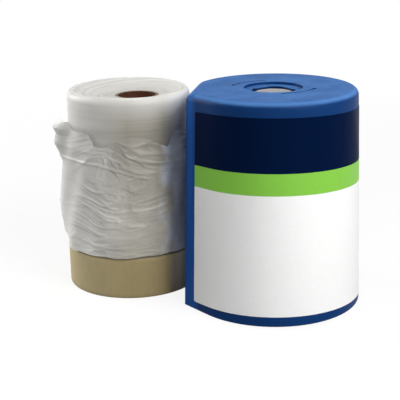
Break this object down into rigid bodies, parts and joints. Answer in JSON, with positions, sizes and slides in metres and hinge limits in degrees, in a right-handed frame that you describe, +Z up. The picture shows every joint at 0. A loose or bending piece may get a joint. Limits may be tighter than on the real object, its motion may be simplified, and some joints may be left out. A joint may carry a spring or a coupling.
{
  "type": "masking film dispenser",
  "caption": "Tapered drop-shaped film dispenser case on a base with a spindle and a loaded roll of taped masking film, with a refill roll beside it.",
  "frame": {"origin": "on the dispenser's axis, at the underside of its base, where it stands", "axes": "+Z up along the spindle; +X to the right, away from the refill roll; -Y towards the labelled front"},
  "size_m": [0.1925, 0.1279, 0.131],
  "materials": {
    "blue_plastic": "moulded blue polypropylene, satin",
    "grey_plastic": "moulded light grey polypropylene, satin",
    "label": "printed film label, satin, navy, green and white bands",
    "steel": "thin toothed steel strip",
    "card": "brown wound card tube",
    "film": "folded translucent polyethylene film",
    "tape": "creped paper masking tape, wound"
  },
  "bodies": {
    "base": {"base_cap": "blue_plastic", "spindle": "grey_plastic", "film_tail": "film", "tape_tail": "tape", "refill_core": "card", "refill_tape": "tape", "refill_film": "film", "refill_loose_film": "film"},
    "case": {"case_shell": "blue_plastic", "front_label": "label", "cutter_blade": "steel"},
    "loaded_roll": {"loaded_core": "card", "loaded_tape": "tape", "loaded_film": "film"}
  },
  "joints": [
    {"name": "case_lift", "type": "slide", "parent": "base", "child": "case", "axis": [0, 0, 1], "range_m": [0, 0.14]},
    {"name": "roll_turn", "type": "hinge", "parent": "base", "child": "loaded_roll", "pos_m": [0, 0, 0.064], "axis": [0, 0, 1], "continuous": true}
  ]
}
